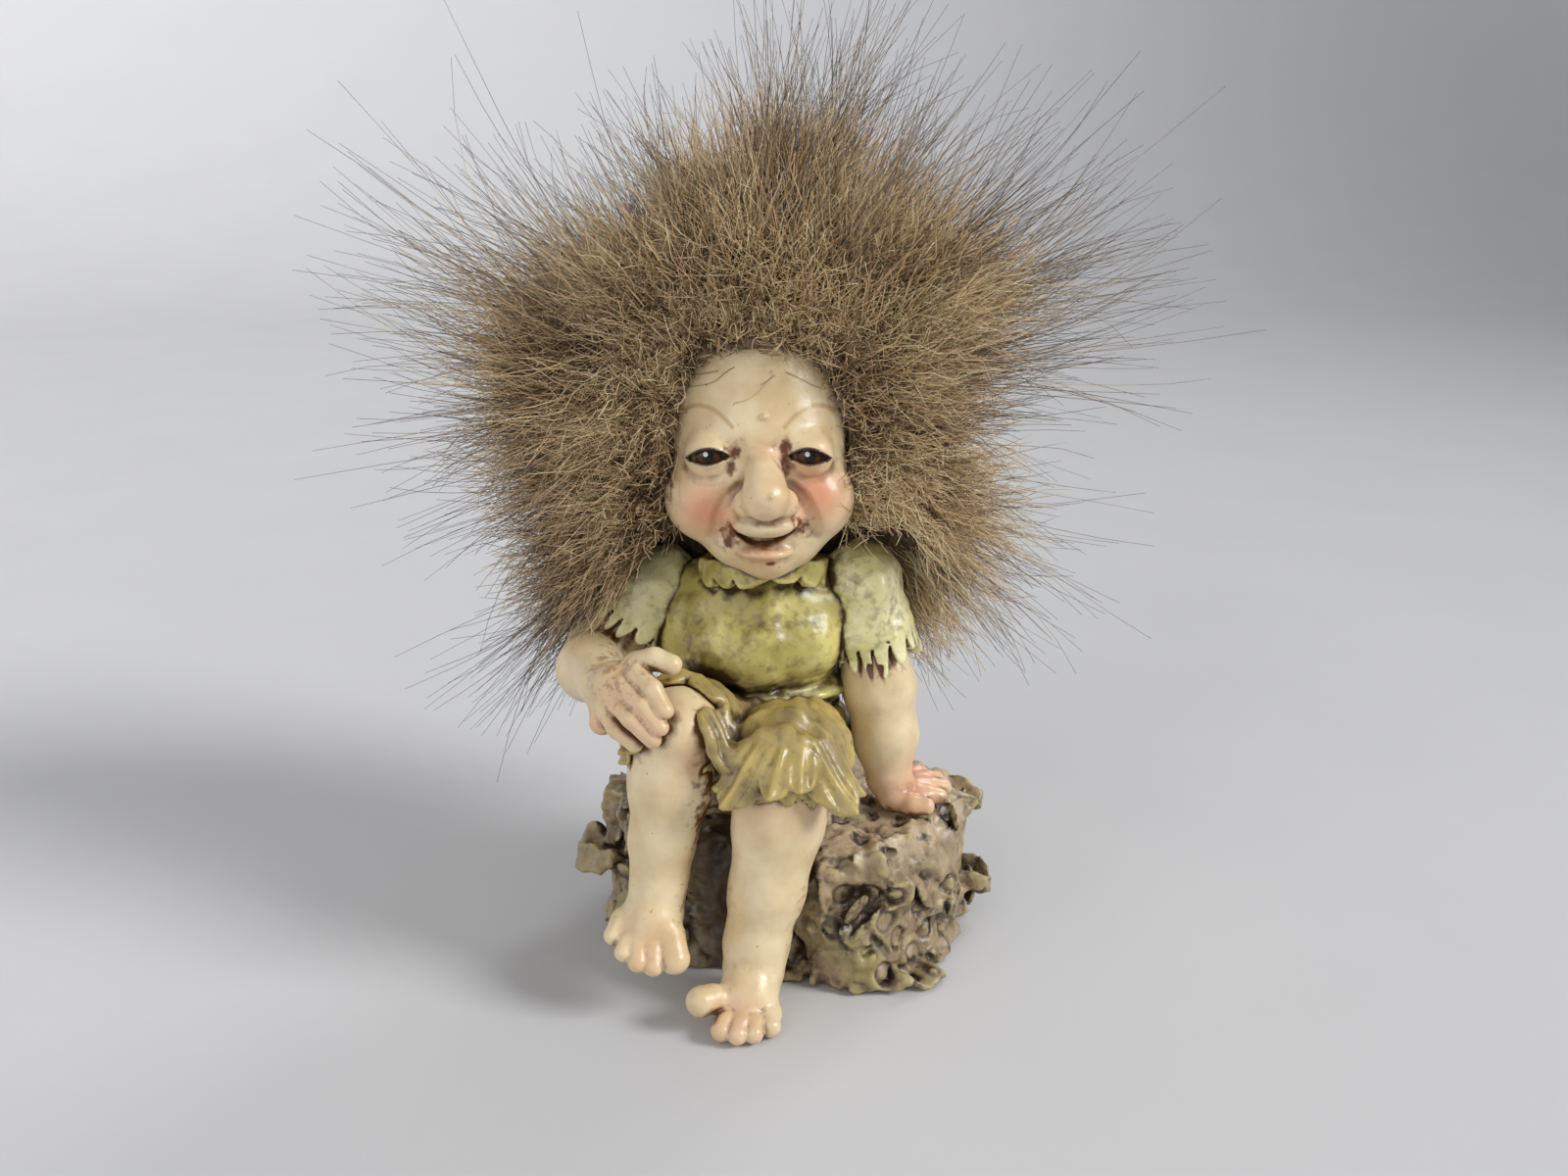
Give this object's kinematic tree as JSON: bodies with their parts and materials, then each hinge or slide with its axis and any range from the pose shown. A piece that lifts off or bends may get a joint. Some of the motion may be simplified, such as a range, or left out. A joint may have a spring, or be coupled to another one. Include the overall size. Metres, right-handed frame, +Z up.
{
  "type": "troll figure",
  "caption": "Folk ornament of a seated troll child on a tree stump, cast in painted resin with a wild fur wig; stands free on the flat foot of the stump.",
  "frame": {"origin": "centre of the stump's foot, on the surface that the figure stands on", "axes": "+Z up; the figure faces -Y, its own left side is towards +X"},
  "size_m": [0.1069, 0.0721, 0.1215],
  "materials": {
    "bark": "painted and antiqued resin, satin varnish",
    "felt": "pressed wool felt",
    "trouser_cloth": "painted resin cloth, satin varnish",
    "tunic_cloth": "painted resin cloth, satin varnish",
    "sleeve_cloth": "painted resin cloth, satin varnish",
    "skin": "painted resin with a brown wash, satin varnish",
    "eye": "gloss",
    "wig_backing": "knitted fabric, glued",
    "wig_fur": "long-pile artificial fur"
  },
  "bodies": {
    "root": {"stump": "bark", "felt_pad": "felt", "trousers": "trouser_cloth", "tunic": "tunic_cloth", "right_sleeve": "sleeve_cloth", "left_sleeve": "sleeve_cloth", "right_arm": "skin", "left_arm": "skin", "right_leg": "skin", "left_leg": "skin", "head": "skin", "right_eye": "eye", "left_eye": "eye", "wig_backing": "wig_backing", "wig_pile": "wig_fur"}
  },
  "joints": []
}
